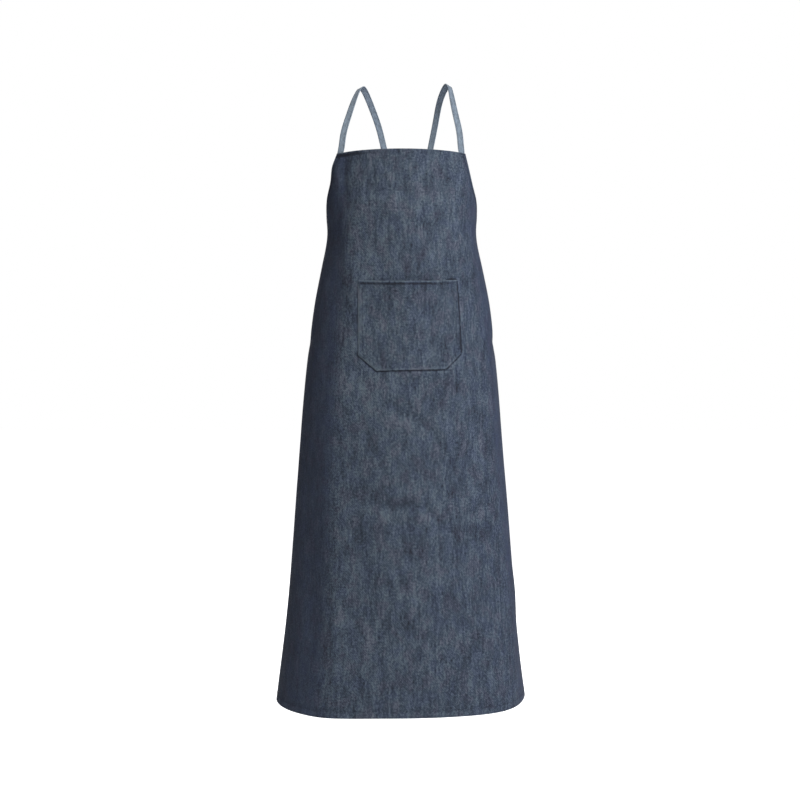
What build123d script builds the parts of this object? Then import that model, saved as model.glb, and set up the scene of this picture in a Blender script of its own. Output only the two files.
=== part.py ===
from build123d import *

import os
from math import cos, radians, sin, sqrt

# Denim cross-back bib apron in its worn shape, in millimetres.
# The front faces -Y, +X is the right-hand side seen from the front, +Z is up.
# The origin lies midway between the tops of the two shoulder straps.

os.makedirs("parts", exist_ok=True)

# ---- driving dimensions of the cloth, laid flat ----
panel_length = 1067.0  # bib top to hem, 42 in
panel_half_width = 432.0  # skirt, 34 in across
bib_half_width = 137.0  # top edge of the bib, 10.8 in across
armhole_depth = 287.0  # bib top to waist corner
armhole_flare = 0.433  # outward slope of the armhole where it leaves the bib
armhole_curve = panel_half_width - bib_half_width - armhole_flare * armhole_depth
cloth = 1.0  # one layer of denim
fold = 1.6  # the two turned-in layers of a hem
layer_gap = 0.4  # air between stacked layers
tape_gap = 1.6  # air between the flat strap ends and the curved hems

bib_hem_width = 20.0
armhole_hem_width = 9.0
side_hem_width = 12.0
bottom_hem_width = 14.0

# ---- the worn shape ----
bib_top = -147.0  # height of the bib's top edge, below the strap tops
# horizontal sections of the worn panel: depth below the bib top, half width, half depth
worn_sections = [
    (0, 147.0, 103.0),
    (60, 149.0, 115.0),
    (110, 149.5, 121.0),
    (155, 149.5, 124.0),
    (220, 161.0, 127.0),
    (287, 173.5, 129.0),
    (404, 187.5, 134.0),
    (640, 206.5, 149.0),
    (909, 228.0, 168.0),
    (1067, 246.0, 178.0),
]

# ---- pocket ----
pocket_top = 254.5  # mouth, below the bib top
pocket_centre = 13.5  # sewn a little to the right
pocket_tilt = 1.46  # degrees, its foot swings to the right
pocket_height = 168.5
pocket_mouth_half = 96.0
pocket_widest_half = 100.0
pocket_foot_half = 65.8
pocket_side = 138.5  # length of the straight side, above the cut corner
pocket_gape = 13.0  # how far the mouth stands off the panel at its middle
pocket_hem_width = 22.0

# ---- straps ----
strap_width = 13.0
strap_thickness = 2.0
strap_inset = 0.5  # strap's edge in from the bib's side edge
strap_sewn = 32.0  # length sewn down at each end
pivot_rise = 8.5  # where a free loop starts, above the bib's top edge
round_end = strap_width / 2  # a free loop ends in a half circle
end_gap = 0.8  # between a free loop's round end and the sewn run

# shoulder form that the straps lie on: centre height and half sizes
form_centre = (0.0, 15.0, -140.0)
form_half = (147.0, 103.0, 140.0)

# centre lines of the free loops, from the bib over the shoulder to the middle of the back
left_loop_line = [
    (-114.5, -54, -112),
    (-104, -46, -71),
    (-96, -35, -43),
    (-86.5, -18, -15),
    (-80, 0, -4),
    (-72, 24, -10),
    (-60, 56, -33),
    (-49, 75, -60),
    (-38, 91, -100),
    (-25, 101, -160),
    (-12, 108, -230),
]
right_loop_line = [
    (113.5, -54, -112),
    (106, -46, -71),
    (101, -35, -43),
    (96.5, -18, -13),
    (92, 0, 1),
    (83, 24, -8),
    (74.5, 56, -32),
    (69.5, 75, -58),
    (61, 91, -100),
    (49, 101, -160),
    (33, 106, -230),
]
# where each free loop ends, and the back run below it down to the waist corner
left_back_pivot = (0, 113, -298)
right_back_pivot = (18, 109.5, -298)
left_cross = (9, 116.0, -343)
right_cross = (8, 112.0, -343)


def half_sizes(depth):
    """Half width and half depth of the worn panel at a depth below the bib's top edge."""
    for upper, lower in zip(worn_sections, worn_sections[1:]):
        if depth <= lower[0]:
            break
    share = (depth - upper[0]) / (lower[0] - upper[0])
    width = upper[1] + share * (lower[1] - upper[1])
    thickness = upper[2] + share * (lower[2] - upper[2])
    return width, thickness


def wrap_angle(depth, length):
    """Ellipse parameter in degrees, from the front middle, reached by a length of cloth."""
    width, thickness = half_sizes(depth)
    step = 0.25
    angle = 0.0
    run = 0.0
    while run < abs(length):
        middle = radians(angle + step / 2)
        run += radians(step) * sqrt((width * cos(middle)) ** 2 + (thickness * sin(middle)) ** 2)
        angle += step
    return angle if length >= 0 else -angle


def wrap_point(depth, length, inward):
    """Point on the worn panel, a distance inward from its outer face."""
    width, thickness = half_sizes(depth)
    angle = radians(wrap_angle(depth, length))
    return Vector(
        (width - inward) * sin(angle), -(thickness - inward) * cos(angle), bib_top - depth
    )


def edge_length(depth):
    """Half width of the flat panel at a depth below the bib's top edge."""
    if depth >= armhole_depth:
        return panel_half_width
    return bib_half_width + armhole_flare * depth + armhole_curve * (depth / armhole_depth) ** 2


def wrapped_strip(depth, start, end, outer, inner):
    """Closed horizontal strip of cloth between two lengths and two distances inward."""
    width, thickness = half_sizes(depth)
    first = wrap_angle(depth, start) - 90
    turn = wrap_angle(depth, end) - 90 - first
    with BuildSketch(Plane.XY.offset(bib_top - depth)) as strip:
        with BuildLine():
            out = EllipticalCenterArc((0, 0), width - outer, thickness - outer, first, arc_size=turn)
            back = EllipticalCenterArc((0, 0), width - inner, thickness - inner, first, arc_size=turn)
            Line(out @ 0, back @ 0)
            Line(out @ 1, back @ 1)
        make_face()
    return strip.sketch.face()


def depths_between(first, last, spacing):
    """Evenly spaced depths, both ends included."""
    count = max(1, round((last - first) / spacing))
    return [first + (last - first) * n / count for n in range(count + 1)]


# ---- body panel: bib and skirt in one piece ----
bib_depths = depths_between(0, armhole_depth, 20)
skirt_depths = depths_between(armhole_depth, panel_length, 78)
panel_strips = [
    wrapped_strip(depth, -edge_length(depth), edge_length(depth), 0, cloth)
    for depth in bib_depths + skirt_depths[1:]
]
with BuildPart() as body_panel:
    loft(panel_strips, ruled=True)
body_panel.part.label = "body_panel"
export_step(body_panel.part, "parts/body_panel.step")

# ---- folded hems, turned to the inside of the panel ----
hem_outer = cloth + layer_gap
hem_inner = hem_outer + fold
corner_gap = 1.0  # between two hems that meet at a corner


def armhole_run(depth):
    """Horizontal length of the armhole hem's band, which lies aslant on the cloth."""
    slope = armhole_flare + 2 * armhole_curve * depth / armhole_depth**2
    return armhole_hem_width * sqrt(1 + slope**2)


def hem_strip(depth, start, end):
    """Section of a turned-in hem."""
    return wrapped_strip(depth, start, end, hem_outer, hem_inner)


bib_hem_strips = []
for depth in depths_between(0, bib_hem_width, 10):
    reach = edge_length(depth) - armhole_run(depth) - corner_gap
    bib_hem_strips.append(hem_strip(depth, -reach, reach))
with BuildPart() as bib_hem:
    loft(bib_hem_strips, ruled=True)
bib_hem.part.label = "bib_hem"
export_step(bib_hem.part, "parts/bib_hem.step")

for side, sign in (("left", -1), ("right", 1)):
    armhole_strips = []
    for depth in bib_depths:
        near = edge_length(depth) - armhole_run(depth)
        ends = sorted((sign * near, sign * edge_length(depth)))
        armhole_strips.append(hem_strip(depth, *ends))
    with BuildPart() as armhole_hem:
        loft(armhole_strips, ruled=True)
    armhole_hem.part.label = "armhole_hem_" + side
    export_step(armhole_hem.part, "parts/armhole_hem_" + side + ".step")

    ends = sorted((sign * (panel_half_width - side_hem_width), sign * panel_half_width))
    side_depths = depths_between(armhole_depth + corner_gap, panel_length, 78)
    with BuildPart() as side_hem:
        loft([hem_strip(depth, *ends) for depth in side_depths], ruled=True)
    side_hem.part.label = "side_hem_" + side
    export_step(side_hem.part, "parts/side_hem_" + side + ".step")

bottom_reach = panel_half_width - side_hem_width - corner_gap
bottom_depths = (panel_length - bottom_hem_width, panel_length)
with BuildPart() as bottom_hem:
    loft([hem_strip(depth, -bottom_reach, bottom_reach) for depth in bottom_depths], ruled=True)
bottom_hem.part.label = "bottom_hem"
export_step(bottom_hem.part, "parts/bottom_hem.step")


# ---- pocket ----
def pocket_place(across, down):
    """Flat place on the panel (length from the middle, depth) of a place on the pocket."""
    tilt = radians(pocket_tilt)
    length = pocket_centre + across * cos(tilt) + down * sin(tilt)
    return length, pocket_top - across * sin(tilt) + down * cos(tilt)


pocket_corners = (
    (pocket_mouth_half, 0),
    (pocket_widest_half, pocket_side),
    (pocket_foot_half, pocket_height),
    (-pocket_foot_half, pocket_height),
    (-pocket_widest_half, pocket_side),
    (-pocket_mouth_half, 0),
)


def pocket_section(down, outer, inner):
    """Closed horizontal section of the pocket, bowed off the panel, between two distances inward."""
    middle, depth = pocket_place(0, down)
    stand_off = layer_gap + 0.2 + pocket_gape * max(0.0, 1 - down / pocket_height)
    reach = pocket_widest_half + 3
    with BuildSketch(Plane.XY.offset(bib_top - depth)) as section:
        with BuildLine():
            arcs = []
            for inward in (outer, inner):
                left = wrap_point(depth, middle - reach, inward - layer_gap)
                peak = wrap_point(depth, middle, inward - stand_off)
                right = wrap_point(depth, middle + reach, inward - layer_gap)
                places = [(point.X, point.Y) for point in (left, peak, right)]
                arcs.append(ThreePointArc(*places))
            Line(arcs[0] @ 0, arcs[1] @ 0)
            Line(arcs[0] @ 1, arcs[1] @ 1)
        make_face()
    return section.sketch.face()


def seen_from_front(places):
    """X and Z of places on the pocket, given as across and down."""
    points = []
    for across, down in places:
        length, depth = pocket_place(across, down)
        point = wrap_point(depth, length, 0)
        points.append((point.X, point.Z))
    return points


front_plane = Plane.XZ.offset(60)  # behind the pocket, facing forward
front_reach = 140.0
pocket_rows = depths_between(-8, pocket_height + 8, 20)
with BuildPart() as pocket_patch:
    loft([pocket_section(down, -cloth, 0) for down in pocket_rows], ruled=True)
    with BuildSketch(front_plane):
        with BuildLine():
            Polyline(*seen_from_front(pocket_corners), close=True)
        make_face()
    extrude(amount=front_reach, mode=Mode.INTERSECT)
pocket_patch.part.label = "pocket_patch"
export_step(pocket_patch.part, "parts/pocket_patch.step")

mouth_reach = pocket_mouth_half - 12
mouth_corners = (
    (-mouth_reach, 0),
    (mouth_reach, 0),
    (mouth_reach, pocket_hem_width),
    (-mouth_reach, pocket_hem_width),
)
with BuildPart() as pocket_mouth_hem:
    loft([pocket_section(down, layer_gap, layer_gap + fold) for down in pocket_rows[:4]], ruled=True)
    with BuildSketch(front_plane):
        with BuildLine():
            Polyline(*seen_from_front(mouth_corners), close=True)
        make_face()
    extrude(amount=front_reach, mode=Mode.INTERSECT)
pocket_mouth_hem.part.label = "pocket_mouth_hem"
export_step(pocket_mouth_hem.part, "parts/pocket_mouth_hem.step")


# ---- straps: flat tape, lofted through rectangles square to its line ----
def form_normal(point):
    """Outward direction at a point: the form is an ellipsoid above its centre, upright below."""
    parts = [
        (coordinate - centre) / half**2
        for coordinate, centre, half in zip(point, form_centre, form_half)
    ]
    return Vector(parts[0], parts[1], max(0.0, parts[2])).normalized()


def tape_planes(points):
    """Planes square to a smooth line through the points, with x across the tape."""
    line = Spline(*points, mode=Mode.PRIVATE)
    planes = []
    for point in points:
        place = Vector(*point)
        along = line.tangent_at(line.param_at_point(place))
        across = form_normal(place).cross(along).normalized()
        planes.append(Plane(origin=place, x_dir=across, z_dir=along))
    return planes


def sewn_line(sign, depths, inset, inward):
    """Points of a sewn strap end, a distance in from the panel's side edge."""
    return [
        tuple(wrap_point(depth, sign * (edge_length(depth) - inset), inward)) for depth in depths
    ]


behind_hem = hem_inner + tape_gap + strap_thickness / 2
bib_inset = strap_inset + strap_width / 2
straps = (
    ("left", -1, left_loop_line, left_back_pivot, left_cross),
    ("right", 1, right_loop_line, right_back_pivot, right_cross),
)
for side, sign, loop_line, back_pivot, cross in straps:
    start = wrap_point(0, sign * (edge_length(0) - bib_inset), behind_hem)
    lean = Vector(*loop_line[0]) - start
    bib_pivot = start + lean * (pivot_rise / lean.Z)
    loop_points = [tuple(bib_pivot), *loop_line, back_pivot]
    planes = tape_planes(loop_points)

    # the free loop: tape with a half-round tip at each pivot
    with BuildPart() as strap_loop:
        for plane in planes:
            with BuildSketch(plane):
                Rectangle(strap_width, strap_thickness)
        loft()
        for plane in (planes[0], planes[-1]):
            tip = Plane(origin=plane.origin, x_dir=plane.x_dir, z_dir=plane.y_dir)
            with BuildSketch(tip):
                Circle(round_end)
            extrude(amount=strap_thickness / 2, both=True)
    strap_loop.part.label = side + "_strap_loop"
    export_step(strap_loop.part, "parts/" + side + "_strap_loop.step")

    # the end sewn behind the bib corner
    gap = round_end + end_gap
    top = bib_pivot - planes[0].z_dir * gap
    with BuildPart() as bib_end:
        run = sewn_line(sign, (strap_sewn, strap_sewn / 2), bib_inset, behind_hem) + [tuple(top)]
        for plane in tape_planes(run):
            with BuildSketch(plane):
                Rectangle(strap_width, strap_thickness)
        loft()
    bib_end.part.label = side + "_strap_bib_end"
    export_step(bib_end.part, "parts/" + side + "_strap_bib_end.step")

    # the back run: under the pivot, over or under the other strap, to the opposite waist corner
    with BuildPart() as back_run:
        first = Vector(*back_pivot) + planes[-1].z_dir * gap
        waist_inset = side_hem_width / 2 + 2
        sewn_depths = (armhole_depth + 4, armhole_depth + 18, armhole_depth + strap_sewn)
        run = [tuple(first), cross] + sewn_line(-sign, sewn_depths, waist_inset, behind_hem)
        for plane in tape_planes(run):
            with BuildSketch(plane):
                Rectangle(strap_width, strap_thickness)
        loft()
    back_run.part.label = side + "_strap_back"
    export_step(back_run.part, "parts/" + side + "_strap_back.step")


# ---- bar tacks, proud of the outer face ----
tack_length = 9.0
tack_width = 2.0
tack_height = 0.6


def tack_face(depth, length, turn, stand_off):
    """Base of a bar tack, on the panel's outer face."""
    place = wrap_point(depth, length, -stand_off)
    across = (wrap_point(depth, length + 5, -stand_off) - place).normalized()
    outward = across.cross(Vector(0, 0, 1))
    with BuildSketch(Plane(origin=place, x_dir=across, z_dir=outward)) as base:
        Rectangle(tack_length, tack_width, rotation=turn)
    return base.sketch.face()


with BuildPart() as strap_tacks:
    for sign in (-1, 1):
        extrude(tack_face(8, sign * (edge_length(8) - bib_inset), 0, layer_gap), amount=tack_height)
        extrude(
            tack_face(armhole_depth + 18, sign * (panel_half_width - 8), 0, layer_gap),
            amount=tack_height,
        )
strap_tacks.part.label = "strap_tacks"
export_step(strap_tacks.part, "parts/strap_tacks.step")

with BuildPart() as pocket_tacks:
    for sign in (-1, 1):
        length, depth = pocket_place(sign * (pocket_mouth_half - 3), 6)
        extrude(tack_face(depth, length, 90, cloth + 3.2), amount=tack_height)
pocket_tacks.part.label = "pocket_tacks"
export_step(pocket_tacks.part, "parts/pocket_tacks.step")
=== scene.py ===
"""Cross-back denim bib apron in its worn shape, with hems, stitching, patch pocket and straps."""

import math

import bmesh
import bpy
import numpy as np
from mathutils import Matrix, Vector


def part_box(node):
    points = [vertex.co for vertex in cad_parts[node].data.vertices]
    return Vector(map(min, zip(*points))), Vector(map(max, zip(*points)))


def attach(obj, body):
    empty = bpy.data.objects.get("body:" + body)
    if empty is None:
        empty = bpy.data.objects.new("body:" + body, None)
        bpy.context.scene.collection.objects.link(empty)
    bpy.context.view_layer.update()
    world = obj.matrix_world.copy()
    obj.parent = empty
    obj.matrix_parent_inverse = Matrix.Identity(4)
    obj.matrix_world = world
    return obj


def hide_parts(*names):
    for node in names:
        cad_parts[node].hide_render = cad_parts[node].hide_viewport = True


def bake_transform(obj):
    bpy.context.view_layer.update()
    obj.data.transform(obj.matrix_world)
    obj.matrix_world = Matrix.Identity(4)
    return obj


bl_info = {
    "name": "Denim Cross-back Apron",
    "version": (1, 0, 0),
    "blender": (4, 5, 0),
    "location": "View3D > Sidebar > Apron",
    "description": "Builds a worn denim bib apron with pocket, crossed straps and stitching",
    "category": "Object",
}

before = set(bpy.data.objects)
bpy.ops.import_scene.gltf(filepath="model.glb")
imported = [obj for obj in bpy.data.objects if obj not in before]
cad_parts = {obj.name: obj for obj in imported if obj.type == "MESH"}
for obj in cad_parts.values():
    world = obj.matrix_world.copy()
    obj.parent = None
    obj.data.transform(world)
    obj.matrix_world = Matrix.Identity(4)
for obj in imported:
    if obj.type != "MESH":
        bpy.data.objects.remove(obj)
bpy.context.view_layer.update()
BIB_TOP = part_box("body_panel")[1][2]
HEM_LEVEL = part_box("body_panel")[0][2]
PANEL_LENGTH = BIB_TOP - HEM_LEVEL
MM = 0.001

# horizontal sections of the worn panel: depth below the bib top, half width, half depth
WORN_SECTIONS = (
    (0.000, 0.1470, 0.103),
    (0.060, 0.1490, 0.115),
    (0.110, 0.1495, 0.121),
    (0.155, 0.1495, 0.124),
    (0.220, 0.1610, 0.127),
    (0.287, 0.1735, 0.129),
    (0.404, 0.1875, 0.134),
    (0.640, 0.2065, 0.149),
    (0.909, 0.2280, 0.168),
    (1.067, 0.2460, 0.178),
)

# soft creases in the worn cloth: place across and down, half length, half width, turn in
# degrees, height
CREASES = (
    (-0.1195, 0.040, 0.028, 0.0075, 88, -0.0032),
    (-0.104, 0.040, 0.026, 0.0060, 84, 0.0012),
    (-0.150, 0.020, 0.060, 0.0260, 90, 0.0065),
    (0.335, 0.870, 0.090, 0.0500, 90, 0.0040),
    (-0.128, 0.620, 0.420, 0.0340, 87, 0.0042),
    (-0.092, 0.170, 0.110, 0.0280, 88, 0.0028),
    (-0.045, 0.085, 0.050, 0.0100, 12, -0.0012),
    (0.030, 0.150, 0.045, 0.0110, -10, -0.0012),
    (0.095, 0.075, 0.070, 0.0140, 78, 0.0012),
    (0.066, 0.935, 0.060, 0.0140, 48, -0.0020),
    (-0.120, 0.860, 0.160, 0.0200, 84, 0.0024),
    (-0.190, 0.900, 0.150, 0.0220, 88, -0.0026),
    (0.180, 0.930, 0.140, 0.0200, 94, 0.0022),
    (-0.200, 0.340, 0.070, 0.0120, 35, -0.0016),
    (0.210, 0.345, 0.070, 0.0120, 145, -0.0016),
)

# sharper pressed creases, the same way; each also holds a painted shade line along it, with a
# painted highlight on the lip below
PRESSED = (
    (0.020, 0.512, 0.036, 0.0085, -30, -0.0030),
    (0.060, 0.545, 0.022, 0.0100, -62, -0.0022),
    (-0.006, 0.676, 0.046, 0.0095, -3, -0.0030),
    (0.062, 0.700, 0.030, 0.0080, -38, -0.0028),
    (0.150, 0.686, 0.034, 0.0085, 16, -0.0030),
    (0.045, 0.925, 0.026, 0.0090, -28, -0.0026),
    (-0.035, 0.078, 0.045, 0.0090, -5, -0.0020),
    (0.052, 0.148, 0.034, 0.0085, 14, -0.0024),
    (-0.085, 0.735, 0.022, 0.0110, -50, -0.0022),
    (-0.060, 0.560, 0.030, 0.0085, -60, -0.0018),
)

# rubbed, paler places on the panel: length, depth, half length, half height, amount
RUBBED = (
    (-0.050, 0.465, 0.070, 0.060, 0.20),
    (-0.062, 0.150, 0.045, 0.110, 0.16),
    (0.085, 0.110, 0.050, 0.090, 0.08),
)

# lines of the free shoulder loops, over the shoulder to the middle of the back
LOOP_LINES = {
    "left": (
        (-0.1145, -0.054, -0.112),
        (-0.104, -0.046, -0.071),
        (-0.096, -0.035, -0.043),
        (-0.0865, -0.018, -0.015),
        (-0.080, 0.000, -0.004),
        (-0.072, 0.024, -0.010),
        (-0.060, 0.056, -0.033),
        (-0.049, 0.075, -0.060),
        (-0.038, 0.091, -0.100),
        (-0.025, 0.101, -0.160),
        (-0.012, 0.108, -0.230),
    ),
    "right": (
        (0.1135, -0.054, -0.112),
        (0.106, -0.046, -0.071),
        (0.101, -0.035, -0.043),
        (0.0965, -0.018, -0.013),
        (0.092, 0.000, 0.001),
        (0.083, 0.024, -0.008),
        (0.0745, 0.056, -0.032),
        (0.0695, 0.075, -0.058),
        (0.061, 0.091, -0.100),
        (0.049, 0.101, -0.160),
        (0.033, 0.106, -0.230),
    ),
}
APEX_INDEX = 4  # which point of a loop line is on top of the shoulder
# painted light and shade on the straps: each run is drawn paler or darker to even out how the key
# light falls on it
STRAP_PAINTED_SHADING = {"left": (-0.05, -0.04), "right": (-0.17, 0.15)}  # paler or darker: front, back
# where each loop meets its fixed back run, and where the two runs cross below that
BACK_PIVOTS = {"left": (0.0, 0.113, -0.298), "right": (0.018, 0.1095, -0.298)}
CROSSINGS = {"left": (0.009, 0.116, -0.343), "right": (0.008, 0.112, -0.343)}
# the shoulders that the straps lie on: middle and half sizes of an ellipsoid
FORM_CENTRE = np.array((0.0, 0.015, -0.140))
FORM_HALF = np.array((0.147, 0.103, 0.140))
MATERIALS = {}


# ------------------------------------------------------------------ settings


class ApronCloth(bpy.types.PropertyGroup):
    """Sizes and colours of the body panel."""

    half_width: bpy.props.FloatProperty(
        name="Half width", description="Half the flat width of the skirt", default=0.432,
        unit="LENGTH",
    )
    bib_half: bpy.props.FloatProperty(
        name="Bib half width", description="Half the bib's top edge", default=0.137, unit="LENGTH"
    )
    armhole: bpy.props.FloatProperty(
        name="Armhole depth", description="Bib top to waist corner", default=0.287, unit="LENGTH"
    )
    flare: bpy.props.FloatProperty(
        name="Armhole flare", description="Outward slope of the armhole at the bib top",
        default=0.433,
    )
    thickness: bpy.props.FloatProperty(
        name="Cloth", description="Thickness of one layer", default=0.001, unit="LENGTH"
    )
    bib_hem: bpy.props.FloatProperty(
        name="Bib hem", description="Width of the bib's top hem", default=0.020, unit="LENGTH"
    )
    armhole_hem: bpy.props.FloatProperty(
        name="Armhole hem", description="Width of the armhole hems", default=0.009, unit="LENGTH"
    )
    side_hem: bpy.props.FloatProperty(
        name="Side hem", description="Width of the side hems", default=0.012, unit="LENGTH"
    )
    bottom_hem: bpy.props.FloatProperty(
        name="Bottom hem", description="Width of the bottom hem", default=0.014, unit="LENGTH"
    )
    warp: bpy.props.StringProperty(
        name="Warp colour", description="Indigo of the warp threads, sRGB hex", default="#3b4453"
    )
    # the deep indigo also colours the painted shade
    shade: bpy.props.StringProperty(
        name="Deep indigo", description="Darkest warp threads and seam grooves, sRGB hex",
        default="#1f232d",
    )
    # the slub colour also colours the painted highlights
    slub: bpy.props.StringProperty(
        name="Slub colour", description="Pale slubs and worn ridges, sRGB hex", default="#5f6974"
    )
    reverse: bpy.props.StringProperty(
        name="Reverse colour", description="Weft side of the denim, sRGB hex", default="#8b95a3"
    )
    reverse_slub: bpy.props.StringProperty(
        name="Reverse slubs", description="Palest weft threads, sRGB hex", default="#b4bcc6"
    )


class ApronPocket(bpy.types.PropertyGroup):
    """Sizes of the patch pocket."""

    centre: bpy.props.FloatProperty(
        name="Centre", description="Pocket's middle, right of the apron's", default=0.0135,
        unit="LENGTH",
    )
    top: bpy.props.FloatProperty(
        name="Mouth", description="Pocket mouth below the bib top", default=0.2545, unit="LENGTH"
    )
    tilt: bpy.props.FloatProperty(
        name="Tilt", description="Turn of the pocket on the cloth", default=math.radians(1.46),
        subtype="ANGLE",
    )
    height: bpy.props.FloatProperty(
        name="Height", description="Mouth to foot", default=0.1685, unit="LENGTH"
    )
    side: bpy.props.FloatProperty(
        name="Side", description="Straight side above the cut corner", default=0.1385, unit="LENGTH"
    )
    mouth_half: bpy.props.FloatProperty(
        name="Mouth half", description="Half the mouth's width", default=0.0960, unit="LENGTH"
    )
    widest_half: bpy.props.FloatProperty(
        name="Widest half", description="Half the width at the cut corners", default=0.1000,
        unit="LENGTH",
    )
    foot_half: bpy.props.FloatProperty(
        name="Foot half", description="Half the width of the foot", default=0.0658, unit="LENGTH"
    )
    gape: bpy.props.FloatProperty(
        name="Gape", description="How far the mouth stands off at its middle", default=0.009,
        unit="LENGTH",
    )
    hem: bpy.props.FloatProperty(
        name="Mouth hem", description="Depth of the mouth's turned-in hem", default=0.022,
        unit="LENGTH",
    )


class ApronStraps(bpy.types.PropertyGroup):
    """Sizes and colour of the straps."""

    width: bpy.props.FloatProperty(
        name="Width", description="Width of the tape", default=0.013, unit="LENGTH"
    )
    thickness: bpy.props.FloatProperty(
        name="Thickness", description="Thickness of the folded tape", default=0.002, unit="LENGTH"
    )
    sewn: bpy.props.FloatProperty(
        name="Sewn end", description="Length sewn down at each end", default=0.032, unit="LENGTH"
    )
    colour: bpy.props.StringProperty(
        name="Tape colour", description="Grey-blue of the tape, sRGB hex", default="#8593a0"
    )


class ApronThread(bpy.types.PropertyGroup):
    """The sewing thread."""

    stitch: bpy.props.FloatProperty(
        name="Stitch", description="Length of one stitch", default=0.0030, unit="LENGTH"
    )
    gap: bpy.props.FloatProperty(
        name="Gap", description="Cloth between two stitches", default=0.0007, unit="LENGTH"
    )
    thickness: bpy.props.FloatProperty(
        name="Thread", description="Thickness of the thread", default=0.0006, unit="LENGTH"
    )
    colour: bpy.props.StringProperty(
        name="Thread colour", description="Navy of the thread, sRGB hex", default="#232a3a"
    )


class ApronStage(bpy.types.PropertyGroup):
    """Floor, lights and camera."""

    distance: bpy.props.FloatProperty(
        name="Camera distance", description="Camera to the strap tops", default=2.342, unit="LENGTH"
    )
    eye: bpy.props.FloatProperty(
        name="Camera height", description="Camera below the strap tops", default=0.627,
        unit="LENGTH",
    )
    aside: bpy.props.FloatProperty(
        name="Camera aside", description="Camera to the right of the middle", default=-0.0034,
        unit="LENGTH",
    )
    lens: bpy.props.FloatProperty(name="Lens", description="Focal length in mm", default=52.77)
    drop: bpy.props.FloatProperty(
        name="Floor drop", description="Floor below the hem", default=0.26, unit="LENGTH"
    )


def settings(name):
    """The property group of that name, on the scene."""
    return getattr(bpy.context.scene, "apron_" + name)


# ------------------------------------------------------------------ the worn surface


def band(distance, width):
    """1 on a line, falling off smoothly over a width beside it."""
    return np.exp(-((distance / width) ** 2))


def rising(value, start, over):
    """0 up to a start, and from there evenly up to 1 over a distance."""
    return np.clip((value - start) / over, 0, 1)


def smooth_between(stations, values, x):
    """Smooth curve through values at stations, without overshoot at their kinks."""
    stations = np.asarray(stations, float)
    values = np.asarray(values, float)
    steps = np.diff(stations)
    slopes = np.diff(values) / steps
    tangents = np.empty(len(values))
    tangents[0], tangents[-1] = slopes[0], slopes[-1]
    weights = steps[1:] + steps[:-1]
    tangents[1:-1] = (slopes[:-1] * steps[1:] + slopes[1:] * steps[:-1]) / weights
    x = np.clip(x, stations[0], stations[-1])
    at = np.clip(np.searchsorted(stations, x) - 1, 0, len(steps) - 1)
    h = steps[at]
    t = (x - stations[at]) / h
    start = values[at] * (1 + 2 * t) * (1 - t) ** 2 + tangents[at] * h * t * (1 - t) ** 2
    end = values[at + 1] * t * t * (3 - 2 * t) + tangents[at + 1] * h * t * t * (t - 1)
    return start + end


def squareness(depth, length):
    """Power of the rounded section: 2 is an ellipse, more is squarer, as the hem hangs."""
    low = rising(np.asarray(depth, float), 0.72, 0.3) ** 1.5
    return 2 + low * np.where(np.asarray(length) < 0, 0.5, 0.3)


def half_sizes(depth):
    """Half width and half depth of the worn panel at depths below the bib top."""
    sections = np.array(WORN_SECTIONS)
    width = smooth_between(sections[:, 0], sections[:, 1], depth)
    return width, smooth_between(sections[:, 0], sections[:, 2], depth)


def edge_length(depth):
    """Half width of the flat panel at depths below the bib top."""
    cloth = settings("cloth")
    curve = cloth.half_width - cloth.bib_half - cloth.flare * cloth.armhole
    share = np.clip(np.asarray(depth, float) / cloth.armhole, 0, 1)
    return cloth.bib_half + cloth.flare * cloth.armhole * share + curve * share**2


ANGLES = np.linspace(0, math.pi, 1441)  # stations round one half of a section


def section_point(width, thickness, power, angle):
    """Across and back of a rounded section at an angle from its front middle."""
    s, c = np.sin(angle), np.cos(angle)
    across = width * np.sign(s) * np.abs(s) ** (2 / power)
    return across, -thickness * np.sign(c) * np.abs(c) ** (2 / power)


def wrap_angles(depth, length):
    """Angle from the front middle, for each depth and length of cloth round the section."""
    width, thickness = half_sizes(depth)
    width, thickness, power = width.ravel(), thickness.ravel(), squareness(depth, length).ravel()
    angles = np.empty(width.size)
    flat_length = np.abs(length).ravel()
    keys = np.round(np.asarray(depth, float).ravel(), 6) + 10 * (np.ravel(length) < 0)
    unique, first, which = np.unique(keys, return_index=True, return_inverse=True)
    order = np.argsort(which, kind="stable")
    bounds = np.searchsorted(which[order], np.arange(len(unique) + 1))
    for n, at in enumerate(first):
        rows = order[bounds[n]:bounds[n + 1]]
        x, y = section_point(width[at], thickness[at], power[at], ANGLES)
        run = np.concatenate(([0.0], np.cumsum(np.hypot(np.diff(x), np.diff(y)))))
        angles[rows] = np.interp(flat_length[rows], run, ANGLES)
    return (angles * np.sign(np.ravel(length))).reshape(np.shape(length))


def crease_frame(length, depth, across, down, half_long, half_wide, turn):
    """Places along and beside a crease, in half lengths and half widths of it.

    A crease runs up to the right at its turn, and wavers a little on its way.
    """
    c, s = math.cos(math.radians(turn)), math.sin(math.radians(turn))
    along = (length - across) * c - (depth - down) * s
    beside = (length - across) * s + (depth - down) * c
    beside = beside + 0.35 * half_wide * np.sin(3.5 * along / half_long + 40.0 * across)
    return along / half_long, beside / half_wide


def crease_height(length, depth):
    """How far the soft folds lift the cloth, at places on the flat panel."""
    height = np.zeros(np.shape(length))
    for *crease, lift in CREASES + PRESSED:
        along, beside = crease_frame(length, depth, *crease)
        height += lift * np.exp(-(along**2) - beside**2)
    # the skirt's long flutes, growing towards the hem
    fall = rising(depth, 0.35, 0.72) ** 1.6
    flutes = 0.55 * np.sin(length * 37 + 0.6) + 0.45 * np.sin(length * 23.5 + 2.1 + depth * 1.4)
    height += 0.0032 * fall * flutes
    # below the bib's top edge the cloth is nowhere quite even
    height += 0.0008 * np.sin(length * 19 + depth * 11) * rising(depth, 0, 0.2)
    return height


# the cloth simulation's result: stations down and across the panel, and shifts in metres
DRAPE = {"rows": None, "cols": None, "shift": None}


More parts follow.
